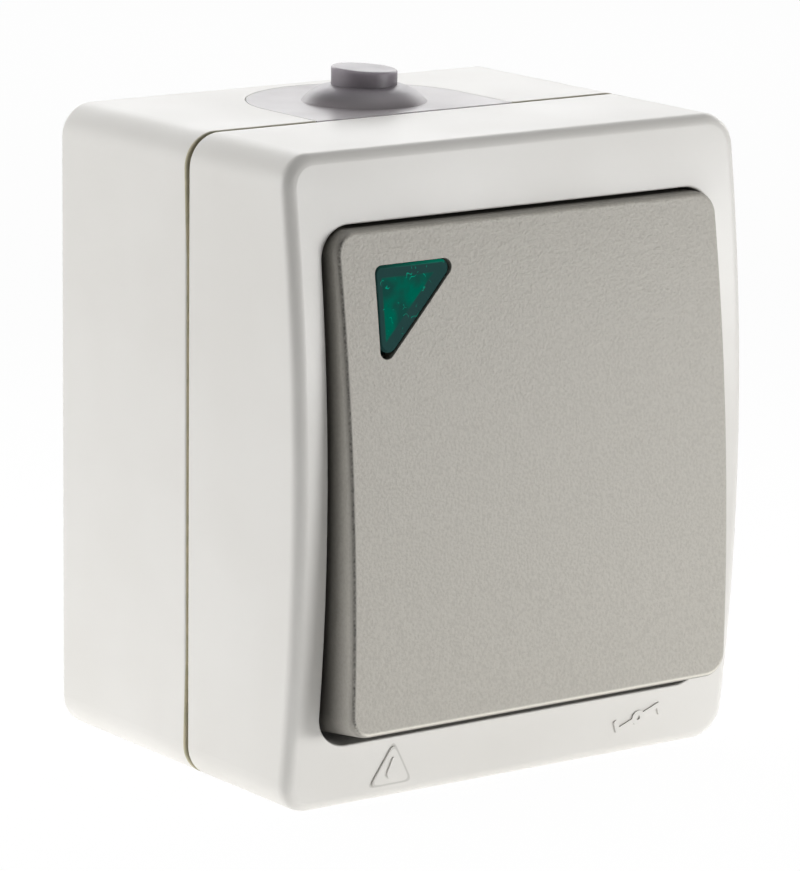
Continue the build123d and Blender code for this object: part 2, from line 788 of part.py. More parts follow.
# Contact blade: thick copper seesaw with a round groove over the upright's edge
blade_half = contact_arm + blade_overhang
with BuildPart() as contact_blade:
    with BuildSketch(blade_frame):
        Rectangle(blade_width, 2 * blade_half)
        with Locations(*contact_places):
            Circle(rivet_shank, mode=Mode.SUBTRACT)
    extrude(amount=blade_thickness)
    with BuildSketch(side_of(blade_frame)):
        Circle(fulcrum_radius + fulcrum_play)
    extrude(amount=blade_width, both=True, mode=Mode.SUBTRACT)
contact_blade.part.label = "contact_blade"
export_step(contact_blade.part, "parts/contact_blade.step")

# Blade contacts: domed silver rivets on the back of the blade
with BuildPart() as blade_contacts:
    with BuildSketch(blade_frame.offset(-moving_contact_height)):
        with Locations(*contact_places):
            Circle(contact_radius)
    extrude(amount=moving_contact_height)
    with Locations(*[blade_frame.offset(contact_dome - moving_contact_height).location * Pos(x, z)
                     for x, z in contact_places]):
        Sphere(contact_dome, mode=Mode.INTERSECT)
    with BuildSketch(blade_frame):
        with Locations(*contact_places):
            Circle(rivet_shank - screw_thread_play)
    extrude(amount=blade_thickness)
blade_contacts.part.label = "blade_contacts"
export_step(blade_contacts.part, "parts/blade_contacts.step")

# Rocker: crowned cap with ribs, a hollow boss on the tumbler and a triangular window
with BuildPart() as rocker_room:
    add(crowned_block(rocker_frame, rocker_width - 2 * rocker_wall, rocker_height - 2 * rocker_wall,
                      rocker_rear, rocker_edge_height - rocker_wall, rocker_crown,
                      rocker_radius - rocker_wall, draft=rocker_draft))
    with BuildSketch(rocker_frame.offset(seat_height)):
        Rectangle(2 * boss_half_width, 2 * boss_half_height)
        Rectangle(2 * (boss_half_width - boss_wall), 2 * (boss_half_height - boss_wall),
                  mode=Mode.SUBTRACT)
    extrude(amount=rocker_edge_height + rocker_crown - seat_height, mode=Mode.SUBTRACT)
    with BuildSketch(rocker_frame.offset(rocker_edge_height - rocker_wall - rib_depth)):
        for side in (1, -1):
            with Locations((side * (boss_half_width + rocker_width / 2) / 2, 0)):
                Rectangle(rocker_width / 2 - boss_half_width, rib_thickness)
            with Locations((0, side * (boss_half_height + rocker_height / 2) / 2)):
                Rectangle(rib_thickness, rocker_height / 2 - boss_half_height)
    extrude(amount=rib_depth + rocker_wall + rocker_crown, mode=Mode.SUBTRACT)
with BuildPart() as rocker_button:
    add(crowned_block(rocker_frame, rocker_width, rocker_height, rocker_rear, rocker_edge_height,
                      rocker_crown, rocker_radius, draft=rocker_draft))
    fillet(rocker_button.faces().sort_by(forward(rocker_frame))[-1].edges(), rocker_round)
    add(rocker_room.part, mode=Mode.SUBTRACT)
    tab_x = boss_half_width - boss_wall / 2
    with BuildSketch(rocker_frame.offset(seat_height - tab_length)):
        with Locations((tab_x, 0), (-tab_x, 0)):
            Rectangle(boss_wall, tab_height)
    extrude(amount=tab_length)
    with BuildSketch(rocker_frame.offset(rocker_rear)):
        add(lens_outline(lens_flange + slip, flange_corner, flange_corner))
    extrude(amount=lens_seat - rocker_rear, mode=Mode.SUBTRACT)
    with BuildSketch(rocker_frame.offset(rocker_rear)):
        add(lens_outline(0, window_corner, window_corner))
    extrude(amount=rocker_skirt + rocker_crown, mode=Mode.SUBTRACT)
rocker_button.part.label = "rocker_button"
export_step(rocker_button.part, "parts/rocker_button.step")

# Indicator lens: clear green triangle pressed into the rocker from behind, held by its flange
with BuildPart() as indicator_lens:
    with BuildSketch(rocker_frame.offset(lens_rear)):
        add(lens_outline(-lens_play, lens_corner, lens_foot_corner))
    extrude(amount=rocker_edge_height + rocker_crown - lens_rear)
    add(crowned_block(rocker_frame, rocker_width, rocker_height, rocker_rear,
                      rocker_edge_height - lens_recess, rocker_crown, rocker_radius),
        mode=Mode.INTERSECT)
    chamfer(indicator_lens.faces().sort_by(forward(rocker_frame))[-1].edges(), lens_bevel)
    with BuildSketch(rocker_frame.offset(lens_rear)):
        add(lens_outline(lens_flange, flange_corner, flange_corner))
    extrude(amount=lens_flange_thickness)
indicator_lens.part.label = "indicator_lens"
export_step(indicator_lens.part, "parts/indicator_lens.step")

# Tumbler: block on two trunnions with slots for the rocker's tabs and a bored stem behind
with BuildPart() as tumbler:
    with BuildSketch(rocker_frame.offset(-tumbler_below)):
        Rectangle(2 * tumbler_half_width, 2 * tumbler_half_height)
    extrude(amount=tumbler_below + seat_height)
    with BuildSketch(side_of(rocker_frame)):
        Circle(trunnion_radius)
    extrude(amount=cheek_outer, both=True)
    with BuildSketch(rocker_frame.offset(-tumbler_below)):
        Circle(stem_radius)
    extrude(amount=tumbler_below - stem_reach)
    with BuildSketch(rocker_frame.offset(seat_height)):
        with Locations((tab_x, 0), (-tab_x, 0)):
            Rectangle(boss_wall + 2 * slip, tab_height + 2 * slip)
    extrude(amount=-tab_length - slip, mode=Mode.SUBTRACT)
    with BuildSketch(rocker_frame.offset(-stem_reach)):
        Circle(bore_radius)
    extrude(amount=bore_depth, mode=Mode.SUBTRACT)
tumbler.part.label = "tumbler"
export_step(tumbler.part, "parts/tumbler.step")

# Plunger: round-nosed pin that slides in the stem and presses on the blade
plunger_radius = bore_radius - plunger_play
with BuildPart() as plunger:
    with BuildSketch(rocker_frame.offset(-plunger_reach)):
        Circle(plunger_radius)
    extrude(amount=plunger_length)
    with Locations(rocker_frame.offset(plunger_radius - plunger_reach).location):
        nose = Sphere(plunger_radius, mode=Mode.PRIVATE)
    with BuildSketch(rocker_frame.offset(-plunger_reach)):
        Circle(plunger_radius)
    extrude(amount=plunger_radius, mode=Mode.SUBTRACT)
    add(nose)
plunger.part.label = "plunger"
export_step(plunger.part, "parts/plunger.step")

# Plunger spring: coil between the plunger and the end of the stem's bore
spring_radius = plunger_radius - spring_wire - spring_play
spring_low = plunger_length - plunger_reach + 2 * spring_wire
spring_high = bore_depth - stem_reach - 2 * spring_wire
with BuildPart() as plunger_spring:
    spring_start = rocker_frame.offset(spring_low)
    with BuildLine() as coil:
        Helix(spring_pitch, spring_high - spring_low, spring_radius, center=spring_start.origin,
              direction=spring_start.z_dir)
    with BuildSketch(Plane(origin=coil.line @ 0, z_dir=coil.line % 0)):
        Circle(spring_wire)
    sweep(path=coil.line, is_frenet=True)
plunger_spring.part.label = "plunger_spring"
export_step(plunger_spring.part, "parts/plunger_spring.step")

# Lamp holder: cup on the bridge's lug that reaches through the floor of the well
with BuildPart() as lamp_holder:
    with BuildSketch(front(bridge_front)):
        with Locations((lamp_x, lamp_z)):
            Circle(holder_radius)
    extrude(amount=holder_height)
    with BuildSketch(front(lamp_base)):
        with Locations((lamp_x, lamp_z)):
            Circle(lamp_radius + holder_play)
    extrude(amount=holder_height - holder_floor, mode=Mode.SUBTRACT)
    with Locations(*[front(lamp_base, lamp_x + side * lead_spread, lamp_z) for side in (1, -1)]):
        Hole(lead_radius + lead_hole_play, depth=holder_floor)
lamp_holder.part.label = "lamp_holder"
export_step(lamp_holder.part, "parts/lamp_holder.step")

# Indicator lamp: small glass bulb with a round tip
with BuildPart() as indicator_lamp:
    with BuildSketch(front(lamp_base)):
        with Locations((lamp_x, lamp_z)):
            Circle(lamp_radius)
    extrude(amount=lamp_tip - lamp_base - lamp_radius)
    with Locations(front(lamp_tip - lamp_radius, lamp_x, lamp_z)):
        Sphere(lamp_radius)
indicator_lamp.part.label = "indicator_lamp"
export_step(indicator_lamp.part, "parts/indicator_lamp.step")


def lead_path(side, clamp_side, row):
    """From a lamp foot back past the base, up over its end and down into a clamp."""
    x = lamp_x + side * lead_spread
    over = max(base_height / 2, lamp_z + lead_bend) + lead_clearance + lead_radius + row * lead_row
    clamp = clamp_side * clamp_x
    return [(x, -lamp_base, lamp_z), (x, -wire_depth, lamp_z), (x, -wire_depth, over),
            (clamp, -wire_depth, over), (clamp, -wire_depth, clamp_z - lead_dip)]


# Lamp leads: two sleeved wires from the lamp to the common clamp and the first traveller's clamp
with BuildPart() as lamp_leads:
    for side, clamp_side, row in ((-1, 1, 1), (1, -1, 0)):
        with BuildLine() as lead:
            FilletPolyline(*lead_path(side, clamp_side, row), radius=lead_bend)
        with BuildSketch(Plane(origin=lead.line @ 0, z_dir=lead.line % 0)):
            Circle(lead_radius)
        sweep(path=lead.line)
lamp_leads.part.label = "lamp_leads"
export_step(lamp_leads.part, "parts/lamp_leads.step")

# Lamp resistor: small sleeve-shaped body on one lead, behind the lamp
resistor_depth = (lamp_base + wire_depth) / 2 - resistor_length / 2
with BuildPart() as lamp_resistor:
    with BuildSketch(front(resistor_depth)):
        with Locations((lamp_x - lead_spread, lamp_z)):
            Circle(resistor_radius)
            Circle(lead_radius, mode=Mode.SUBTRACT)
    extrude(amount=resistor_length)
lamp_resistor.part.label = "lamp_resistor"
export_step(lamp_resistor.part, "parts/lamp_resistor.step")
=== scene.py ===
from math import cos, pi, radians, sin, sqrt

import bpy
from mathutils import Matrix, Vector


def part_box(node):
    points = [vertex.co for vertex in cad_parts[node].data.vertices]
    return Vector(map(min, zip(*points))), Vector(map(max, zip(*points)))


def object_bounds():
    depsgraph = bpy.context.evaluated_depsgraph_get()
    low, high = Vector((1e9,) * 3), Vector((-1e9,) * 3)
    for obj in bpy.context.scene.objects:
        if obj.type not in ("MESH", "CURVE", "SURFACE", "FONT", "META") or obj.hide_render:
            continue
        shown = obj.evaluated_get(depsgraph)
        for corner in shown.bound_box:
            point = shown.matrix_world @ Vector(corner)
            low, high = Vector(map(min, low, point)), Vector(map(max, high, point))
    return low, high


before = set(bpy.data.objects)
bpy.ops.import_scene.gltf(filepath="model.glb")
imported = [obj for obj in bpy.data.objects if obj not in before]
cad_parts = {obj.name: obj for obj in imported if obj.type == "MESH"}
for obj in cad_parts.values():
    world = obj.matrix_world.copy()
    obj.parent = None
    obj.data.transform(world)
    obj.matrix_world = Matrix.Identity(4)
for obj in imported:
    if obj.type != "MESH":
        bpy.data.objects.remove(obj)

cad_box = [list(corner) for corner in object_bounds()]

# Rear box: the open tray that is screwed to the wall, moulded in warm white ABS with a satin skin.
# Its lip reaches into the cover, and what shows of it in the seam carries painted shade.
box_white = (0.815, 0.8, 0.765, 1)
box_shade = (0.785, 0.768, 0.73, 1)
lip_shade_beige = (0.64, 0.58, 0.42, 1)
lip_shade_olive = (0.54, 0.51, 0.36, 1)
lip_painted_light = (0.8, 0.77, 0.66, 1)
satin_roughness = 0.4
seam_gap = 0.0006
lip_edge = 0.0001
corner_start = 0.024
corner_full = 0.034
corner_spread = 0.0003
lip_patch_spot = 0.002
mould_patch = 0.02
mould_grain = 0.0004
grain_relief = 0.000006


def new_finish(name, roughness, metallic=0):
    """A material with a principled shader and the object coordinates that its patterns read."""
    finish = bpy.data.materials.new(name)
    finish.use_nodes = True
    shader = finish.node_tree.nodes["Principled BSDF"]
    shader.inputs["Roughness"].default_value = roughness
    shader.inputs["Metallic"].default_value = metallic
    finish.node_tree.nodes.new("ShaderNodeTexCoord")
    return finish


def join(finish, source, target):
    """Links one node's socket to another's."""
    finish.node_tree.links.new(source, target)


def surface_place(finish, kind="Object"):
    """Where a point lies on the piece, or which way the surface faces there."""
    return finish.node_tree.nodes["Texture Coordinate"].outputs[kind]


def clouds(finish, spot, detail=2.0):
    """Soft uneven patches, with spots about this large in metres."""
    noise = finish.node_tree.nodes.new("ShaderNodeTexNoise")
    noise.inputs["Scale"].default_value = 1 / spot
    noise.inputs["Detail"].default_value = detail
    join(finish, surface_place(finish), noise.inputs["Vector"])
    return noise.outputs[0]


def ramp(finish, value, start, stop, low=0.0, high=1.0):
    """Turns a value that runs from start to stop into one that runs from low to high."""
    scale = finish.node_tree.nodes.new("ShaderNodeMapRange")
    scale.inputs["From Min"].default_value = start
    scale.inputs["From Max"].default_value = stop
    scale.inputs["To Min"].default_value = low
    scale.inputs["To Max"].default_value = high
    join(finish, value, scale.inputs["Value"])
    return scale.outputs["Result"]


def tint(finish, share, under, over):
    """Lays one colour over another by a share. Each is a colour or another node's output."""
    mix = finish.node_tree.nodes.new("ShaderNodeMix")
    mix.data_type = "RGBA"
    join(finish, share, mix.inputs["Factor"])
    for socket, colour in ((mix.inputs[6], under), (mix.inputs[7], over)):
        if isinstance(colour, tuple):
            socket.default_value = colour
        else:
            join(finish, colour, socket)
    return mix.outputs[2]


def colour_with(finish, colour):
    """Gives the surface a colour from a pattern."""
    join(finish, colour, finish.node_tree.nodes["Principled BSDF"].inputs["Base Color"])


def roughen(finish, height, depth):
    """Raises the surface by a pattern, this deep in metres."""
    bump = finish.node_tree.nodes.new("ShaderNodeBump")
    bump.inputs["Distance"].default_value = depth
    join(finish, height, bump.inputs["Height"])
    join(finish, bump.outputs["Normal"], finish.node_tree.nodes["Principled BSDF"].inputs["Normal"])


def vary_roughness(finish, value, low, high):
    """Lets the gloss change over the surface with a pattern."""
    share = ramp(finish, value, 0.3, 0.7, low, high)
    join(finish, share, finish.node_tree.nodes["Principled BSDF"].inputs["Roughness"])


def along(finish, direction):
    """How far a point lies along a direction from the origin."""
    dot = finish.node_tree.nodes.new("ShaderNodeVectorMath")
    dot.operation = "DOT_PRODUCT"
    dot.inputs[1].default_value = direction
    join(finish, surface_place(finish), dot.inputs[0])
    return dot.outputs["Value"]


def facing(finish, direction):
    """How far the surface faces a direction: 1 straight at it, 0 sideways."""
    dot = finish.node_tree.nodes.new("ShaderNodeVectorMath")
    dot.operation = "DOT_PRODUCT"
    dot.inputs[1].default_value = direction
    join(finish, surface_place(finish, "Normal"), dot.inputs[0])
    return dot.outputs["Value"]


def times(finish, first, second):
    """One share of another."""
    product = finish.node_tree.nodes.new("ShaderNodeMath")
    product.operation = "MULTIPLY"
    join(finish, first, product.inputs[0])
    join(finish, second, product.inputs[1])
    return product.outputs["Value"]


def plus(finish, first, second):
    """The sum of a pattern's value and another one, or a plain number."""
    total = finish.node_tree.nodes.new("ShaderNodeMath")
    join(finish, first, total.inputs[0])
    if isinstance(second, float):
        total.inputs[1].default_value = second
    else:
        join(finish, second, total.inputs[1])
    return total.outputs["Value"]


def near_ends(finish, start, full):
    """A share that grows from one height to another, upwards and downwards alike."""
    height = along(finish, (0, 0, 1))
    return ramp(finish, times(finish, height, height), start ** 2, full ** 2)


def dress(node, finish):
    """Gives a CAD node its finish."""
    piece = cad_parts[node]
    piece.data.materials.clear()
    piece.data.materials.append(finish)


def satin_white(name):
    """The housing's moulded skin: faint patches from the mould and a very fine spark-eroded grain."""
    finish = new_finish(name, satin_roughness)
    patches = clouds(finish, mould_patch)
    vary_roughness(finish, patches, satin_roughness - 0.03, satin_roughness + 0.03)
    roughen(finish, clouds(finish, mould_grain), grain_relief)
    return finish, tint(finish, ramp(finish, patches, 0.35, 0.65), box_white, box_shade)


box_finish, box_colour = satin_white("box_plastic")
cover_rear = -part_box("front_cover")[1][1]
lip_start = cover_rear - seam_gap
# Painted shade: the seam's patchy beige and olive on the wall past the rim, wider near the corners.
at_corner = near_ends(box_finish, corner_start, corner_full)
seam_shade_spread = ramp(box_finish, at_corner, 0, 1, 0, corner_spread)
seam_shade_depth = plus(box_finish, along(box_finish, (0, -1, 0)), seam_shade_spread)
seam_shade_share = ramp(box_finish, seam_shade_depth, lip_start, lip_start + lip_edge)
lip_patches = ramp(box_finish, clouds(box_finish, lip_patch_spot, 4), 0.4, 0.6)
lip_light_and_shade = tint(box_finish, lip_patches, lip_shade_beige, lip_shade_olive)
# Painted light: the lip is lighter where it faces up.
lip_light_share = ramp(box_finish, facing(box_finish, (0, 0, 1)), 0.6, 0.9)
lip_light_and_shade = tint(box_finish, lip_light_share, lip_light_and_shade, lip_painted_light)
colour_with(box_finish, tint(box_finish, seam_shade_share, box_colour, lip_light_and_shade))
box_shader = box_finish.node_tree.nodes["Principled BSDF"]
join(box_finish, ramp(box_finish, seam_shade_share, 0, 1, 0.5, 0), box_shader.inputs["Specular IOR Level"])
dress("rear_box", box_finish)

# Cable gland: a soft plate with a closed nipple, moulded in mauve grey elastomer and slid into the
# slot in the box's top wall. Its nipple is a darker grey than the plate. Painted shade darkens the
# dome towards its left side, and painted light makes the plate paler towards its right.
plate_painted_light = (0.66, 0.62, 0.63, 1)
gland_pale = (0.43, 0.395, 0.41, 1)
gland_grey = (0.37, 0.34, 0.355, 1)
gland_mauve = (0.48, 0.45, 0.475, 1)
dome_painted_shade = (0.07, 0.063, 0.069, 1)
gland_neck = (0.28, 0.255, 0.28, 1)
gland_roughness = 0.36
plate_top = 0.0384
dome_rise = 0.0012
neck_height = 0.0404
dome_half = 0.0076
gland_patch = 0.006
gland_grain = 0.0008
gland_relief = 0.00001
light_reach = 0.004

gland_finish = new_finish("gland_rubber", gland_roughness)
rise = ramp(gland_finish, along(gland_finish, (0, 0, 1)), plate_top, plate_top + dome_rise)
gland_patches = clouds(gland_finish, gland_patch, 3)
gland_across = along(gland_finish, (1, 0, 0))
plate_colour = tint(gland_finish, gland_patches, gland_pale, gland_grey)
# Painted light: the plate is paler towards its right.
plate_light_share = ramp(gland_finish, gland_across, 0, 2 * dome_half)
plate_colour = tint(gland_finish, plate_light_share, plate_colour, plate_painted_light)
# Painted shade: the dome is darker towards its left.
dome_shade_share = ramp(gland_finish, gland_across, -dome_half, -dome_half / 4)
dome_colour = tint(gland_finish, dome_shade_share, dome_painted_shade, gland_mauve)
neck = ramp(gland_finish, along(gland_finish, (0, 0, 1)), neck_height - dome_rise, neck_height)
dome_colour = tint(gland_finish, neck, dome_colour, gland_neck)
colour_with(gland_finish, tint(gland_finish, rise, plate_colour, dome_colour))
vary_roughness(gland_finish, gland_patches, gland_roughness - 0.05, gland_roughness + 0.05)
roughen(gland_finish, clouds(gland_finish, gland_grain), gland_relief)
gland_shader = gland_finish.node_tree.nodes["Principled BSDF"]
gland_shader.inputs["Specular IOR Level"].default_value = 0.3
gland_shader.inputs["Subsurface Weight"].default_value = 1
gland_shader.inputs["Subsurface Scale"].default_value = light_reach
gland_shader.inputs["Subsurface Radius"].default_value = (1, 1, 1)
dress("cable_gland", gland_finish)

# Mechanism base: the tray for the contacts and terminals, moulded in dark grey glass-filled resin.
# Short pale fibres lie in its skin, and two ears take the screws into the box's posts.
resin_dark = (0.035, 0.035, 0.038, 1)
resin_fibre = (0.1, 0.1, 0.1, 1)
resin_roughness = 0.5
fibre_spot = 0.0005
fibre_relief = 0.00002


def filled_resin(name):
    """Dark resin with pale fibre specks and a matt skin."""
    finish = new_finish(name, resin_roughness)
    fibres = clouds(finish, fibre_spot, 3)
    colour_with(finish, tint(finish, ramp(finish, fibres, 0.55, 0.7), resin_dark, resin_fibre))
    vary_roughness(finish, fibres, resin_roughness, resin_roughness + 0.15)
    roughen(finish, fibres, fibre_relief)
    return finish


resin_finish = filled_resin("mechanism_resin")
dress("mechanism_base", resin_finish)

# Terminal strips and clamps: pressed and milled brass, one strip for the common wire and two for
# the travellers. Their skin is tumbled, so it shows fine scuffs and a slight brown tarnish.
brass_bright = (0.78, 0.58, 0.28, 1)
brass_brown = (0.5, 0.33, 0.15, 1)
brass_roughness = 0.28
tarnish_patch = 0.003
scuff_spot = 0.0003
scuff_relief = 0.000008


def worn_metal(name, bright, dull, roughness):
    """Bare metal with dull patches and fine scuffs."""
    finish = new_finish(name, roughness, metallic=1)
    patches = clouds(finish, tarnish_patch, 5)
    colour_with(finish, tint(finish, ramp(finish, patches, 0.4, 0.75), bright, dull))
    vary_roughness(finish, patches, roughness, roughness + 0.2)
    roughen(finish, clouds(finish, scuff_spot, 3), scuff_relief)
    return finish


brass_finish = worn_metal("terminal_brass", brass_bright, brass_brown, brass_roughness)
for strip in ("common_terminal", "traveller_terminal_one", "traveller_terminal_two", "terminal_clamps"):
    dress(strip, brass_finish)

# Terminal screws: steel with a zinc skin, turned into the clamps from the front.
# The plating is bluish and slightly blotched.
zinc_bright = (0.66, 0.67, 0.68, 1)
zinc_dull = (0.42, 0.42, 0.41, 1)
zinc_roughness = 0.3

zinc_finish = worn_metal("screw_zinc", zinc_bright, zinc_dull, zinc_roughness)
dress("terminal_screws", zinc_finish)

# Contacts and blade: silver rivets in the traveller strips and on the copper seesaw blade.
# The silver has a yellowish tarnish, the copper a brown one.
silver_bright = (0.86, 0.85, 0.82, 1)
silver_tarnish = (0.55, 0.5, 0.4, 1)
copper_bright = (0.83, 0.47, 0.33, 1)
copper_brown = (0.45, 0.22, 0.14, 1)
silver_roughness = 0.25

silver_finish = worn_metal("contact_silver", silver_bright, silver_tarnish, silver_roughness)
for contacts in ("fixed_contacts", "blade_contacts"):
    dress(contacts, silver_finish)
dress("contact_blade", worn_metal("blade_copper", copper_bright, copper_brown, silver_roughness))

# Tumbler and plunger: the block that carries the rocker and its sliding pin, both moulded in
# natural acetal, which is milky and slightly waxy.
acetal_pale = (0.74, 0.73, 0.68, 1)
acetal_milky = (0.66, 0.64, 0.58, 1)
acetal_roughness = 0.38
milky_patch = 0.004
waxy_grain = 0.0005
waxy_relief = 0.00001

acetal_finish = new_finish("natural_acetal", acetal_roughness)
acetal_patches = clouds(acetal_finish, milky_patch, 3)
colour_with(acetal_finish, tint(acetal_finish, acetal_patches, acetal_pale, acetal_milky))
vary_roughness(acetal_finish, acetal_patches, acetal_roughness, acetal_roughness + 0.1)
roughen(acetal_finish, clouds(acetal_finish, waxy_grain), waxy_relief)
for slider in ("tumbler", "plunger"):
    dress(slider, acetal_finish)

# Plunger spring: a small coil of drawn spring steel in the tumbler's bore.
# Drawing leaves the wire grey with a faint oily brown.
wire_grey = (0.5, 0.5, 0.5, 1)
wire_brown = (0.33, 0.3, 0.27, 1)
wire_roughness = 0.35

dress("plunger_spring", worn_metal("spring_steel", wire_grey, wire_brown, wire_roughness))

# Mechanism bridge and lamp holder: the front plate with the bearing cheeks, and the cup on its lug,
# both of the same filled resin as the base.
for moulding in ("mechanism_bridge", "lamp_holder"):
    dress(moulding, resin_finish)

# Bridge rivets and mechanism screws: brass rivets hold the bridge on the base, and zinc-plated
# screws hold the base's ears on the box's posts.
dress("bridge_rivets", brass_finish)
dress("mechanism_screws", zinc_finish)

# Seals: rings of soft grey closed-cell foam, one under the cover's well and one on the box's lip.
# The cut faces show fine pores.
foam_grey = (0.085, 0.082, 0.08, 1)
foam_pore = (0.03, 0.03, 0.03, 1)
foam_roughness = 0.85
pore_spot = 0.0003
pore_relief = 0.00006

foam_finish = new_finish("seal_foam", foam_roughness)
pores = ramp(foam_finish, clouds(foam_finish, pore_spot, 1), 0.45, 0.6)
colour_with(foam_finish, tint(foam_finish, pores, foam_pore, foam_grey))
roughen(foam_finish, pores, pore_relief)
for seal in ("mechanism_seal", "box_gasket"):
    dress(seal, foam_finish)

# Indicator lamp: a small glass bulb in the holder, behind the lens.
# Clear, with a faint warm film inside.
glass_clear = (0.97, 0.93, 0.88, 1)
glass_film = (0.9, 0.8, 0.68, 1)
glass_roughness = 0.06
glass_bend = 1.47
film_patch = 0.002

glass_finish = new_finish("lamp_glass", glass_roughness)
glass_shader = glass_finish.node_tree.nodes["Principled BSDF"]
glass_shader.inputs["Transmission Weight"].default_value = 1
glass_shader.inputs["IOR"].default_value = glass_bend
film = clouds(glass_finish, film_patch, 3)
colour_with(glass_finish, tint(glass_finish, film, glass_clear, glass_film))
dress("indicator_lamp", glass_finish)

# Lamp leads and resistor: thin sleeved wires from the lamp to the terminals, one with a lacquered
# resistor on it. The sleeves are woven, and the resistor carries plain bands round its body.
sleeve_pale = (0.62, 0.61, 0.57, 1)
sleeve_grey = (0.42, 0.41, 0.38, 1)
lacquer_tan = (0.52, 0.39, 0.26, 1)
band_brown = (0.12, 0.06, 0.03, 1)
band_pitch = 0.0016
sleeve_roughness = 0.7
weave_spot = 0.00025
weave_relief = 0.00004
lacquer_roughness = 0.3
lacquer_patch = 0.0006

sleeve_finish = new_finish("lead_sleeve", sleeve_roughness)
weave = clouds(sleeve_finish, weave_spot, 1)
sleeve_threads = ramp(sleeve_finish, weave, 0.4, 0.6)
colour_with(sleeve_finish, tint(sleeve_finish, sleeve_threads, sleeve_grey, sleeve_pale))
roughen(sleeve_finish, weave, weave_relief)
dress("lamp_leads", sleeve_finish)

lacquer_finish = new_finish("resistor_lacquer", lacquer_roughness)
bands = lacquer_finish.node_tree.nodes.new("ShaderNodeTexWave")
bands.bands_direction = "Y"
bands.inputs["Scale"].default_value = pi / (10 * band_pitch)
join(lacquer_finish, surface_place(lacquer_finish), bands.inputs["Vector"])
band_share = ramp(lacquer_finish, bands.outputs["Fac"], 0.75, 0.85)
lacquer_patches = clouds(lacquer_finish, lacquer_patch, 3)
colour_with(lacquer_finish, tint(lacquer_finish, band_share, lacquer_tan, band_brown))
vary_roughness(lacquer_finish, lacquer_patches, lacquer_roughness - 0.05, lacquer_roughness + 0.1)
dress("lamp_resistor", lacquer_finish)

# Front cover: the crowned shell that closes the box, moulded from the same white ABS as the box.
# It is screwed on through the floor of the rocker's well, and two signs stand proud of its front.
well_painted_shade = (0.03, 0.026, 0.021, 1)
well_half = 0.029
well_shallow = 0.049
well_deep = 0.043
seam_painted_shadow = (0.05, 0.04, 0.032, 1)
seam_shadow_width = 0.00025
sign_painted_shade = (0.3, 0.29, 0.26, 1)
sign_middle = -0.01745
sign_foot = -0.0366
sign_half = 0.003
sign_height = 0.0052
sign_round = 0.0014
sign_thin = 0.00008
sign_thick = 0.0002
sign_shade_strength = 0.4


def least(finish, first, second, blend):
    """The smaller of two values, blended over a short way where they cross."""
    smaller = finish.node_tree.nodes.new("ShaderNodeMath")
    smaller.operation = "SMOOTH_MIN"
    smaller.inputs[2].default_value = blend
    join(finish, first, smaller.inputs[0])
    join(finish, second, smaller.inputs[1])
    return smaller.outputs["Value"]


def facing_middle(finish):
    """How far from the middle line a surface lies that faces back towards it, as a well's walls do."""
    to_middle = finish.node_tree.nodes.new("ShaderNodeVectorMath")
    to_middle.operation = "MULTIPLY"
    to_middle.inputs[1].default_value = (-1, 0, -1)
    join(finish, surface_place(finish), to_middle.inputs[0])
    inward = finish.node_tree.nodes.new("ShaderNodeVectorMath")
    inward.operation = "DOT_PRODUCT"
    join(finish, surface_place(finish, "Normal"), inward.inputs[0])
    join(finish, to_middle.outputs["Vector"], inward.inputs[1])
    return inward.outputs["Value"]


cover_finish, cover_colour = satin_white("cover_plastic")
# Painted shade: the walls of the rocker's well darken with depth.
well_wall = ramp(cover_finish, facing_middle(cover_finish), well_half * 0.6, well_half * 0.95)
cover_depth = along(cover_finish, (0, -1, 0))
well_shade_by_depth = ramp(cover_finish, cover_depth, well_shallow, well_deep, 0.3, 0.92)
well_shade_share = times(cover_finish, well_wall, well_shade_by_depth)
cover_colour = tint(cover_finish, well_shade_share, cover_colour, well_painted_shade)
# Painted shadow: a thin dark band on the cover's sides at its rear edge, near the corners.
near_corner = near_ends(cover_finish, corner_start, corner_full)
on_side = ramp(cover_finish, facing(cover_finish, (0, 0, 1)), 0.7, 0.4)
at_rear = ramp(cover_finish, cover_depth, cover_rear + seam_shadow_width, cover_rear + seam_shadow_width - lip_edge)
seam_shadow_share = times(cover_finish, times(cover_finish, near_corner, on_side), at_rear)
cover_colour = tint(cover_finish, seam_shadow_share, cover_colour, seam_painted_shadow)
# Painted shade: a thin grey line along each sign's outline, on faces that look forward.
sign_slant = Vector((sign_height, 0, sign_half)).normalized()
from_foot = plus(cover_finish, along(cover_finish, (0, 0, 1)), -sign_foot)
from_sides = []
for side in (-1, 1):
    outward = Vector((side * sign_slant.x, 0, sign_slant.z))
    side_at = outward.dot(Vector((sign_middle + side * sign_half, 0, sign_foot)))
    from_sides.append(plus(cover_finish, along(cover_finish, -outward), side_at))
sign_inside = least(cover_finish, least(cover_finish, *from_sides, sign_round), from_foot, sign_round)
from_line = times(cover_finish, sign_inside, sign_inside)
sign_shade_share = ramp(cover_finish, from_line, sign_thin ** 2, sign_thick ** 2, sign_shade_strength, 0)
sign_shade_share = times(cover_finish, sign_shade_share, ramp(cover_finish, facing(cover_finish, (0, -1, 0)), 0.7, 0.9))
colour_with(cover_finish, tint(cover_finish, sign_shade_share, cover_colour, sign_painted_shade))
dress("front_cover", cover_finish)

# Cover screws: two zinc-plated screws under the rocker, from the cover into the box's corner posts.
# Same plating as the terminals' screws.
dress("cover_screws", zinc_finish)

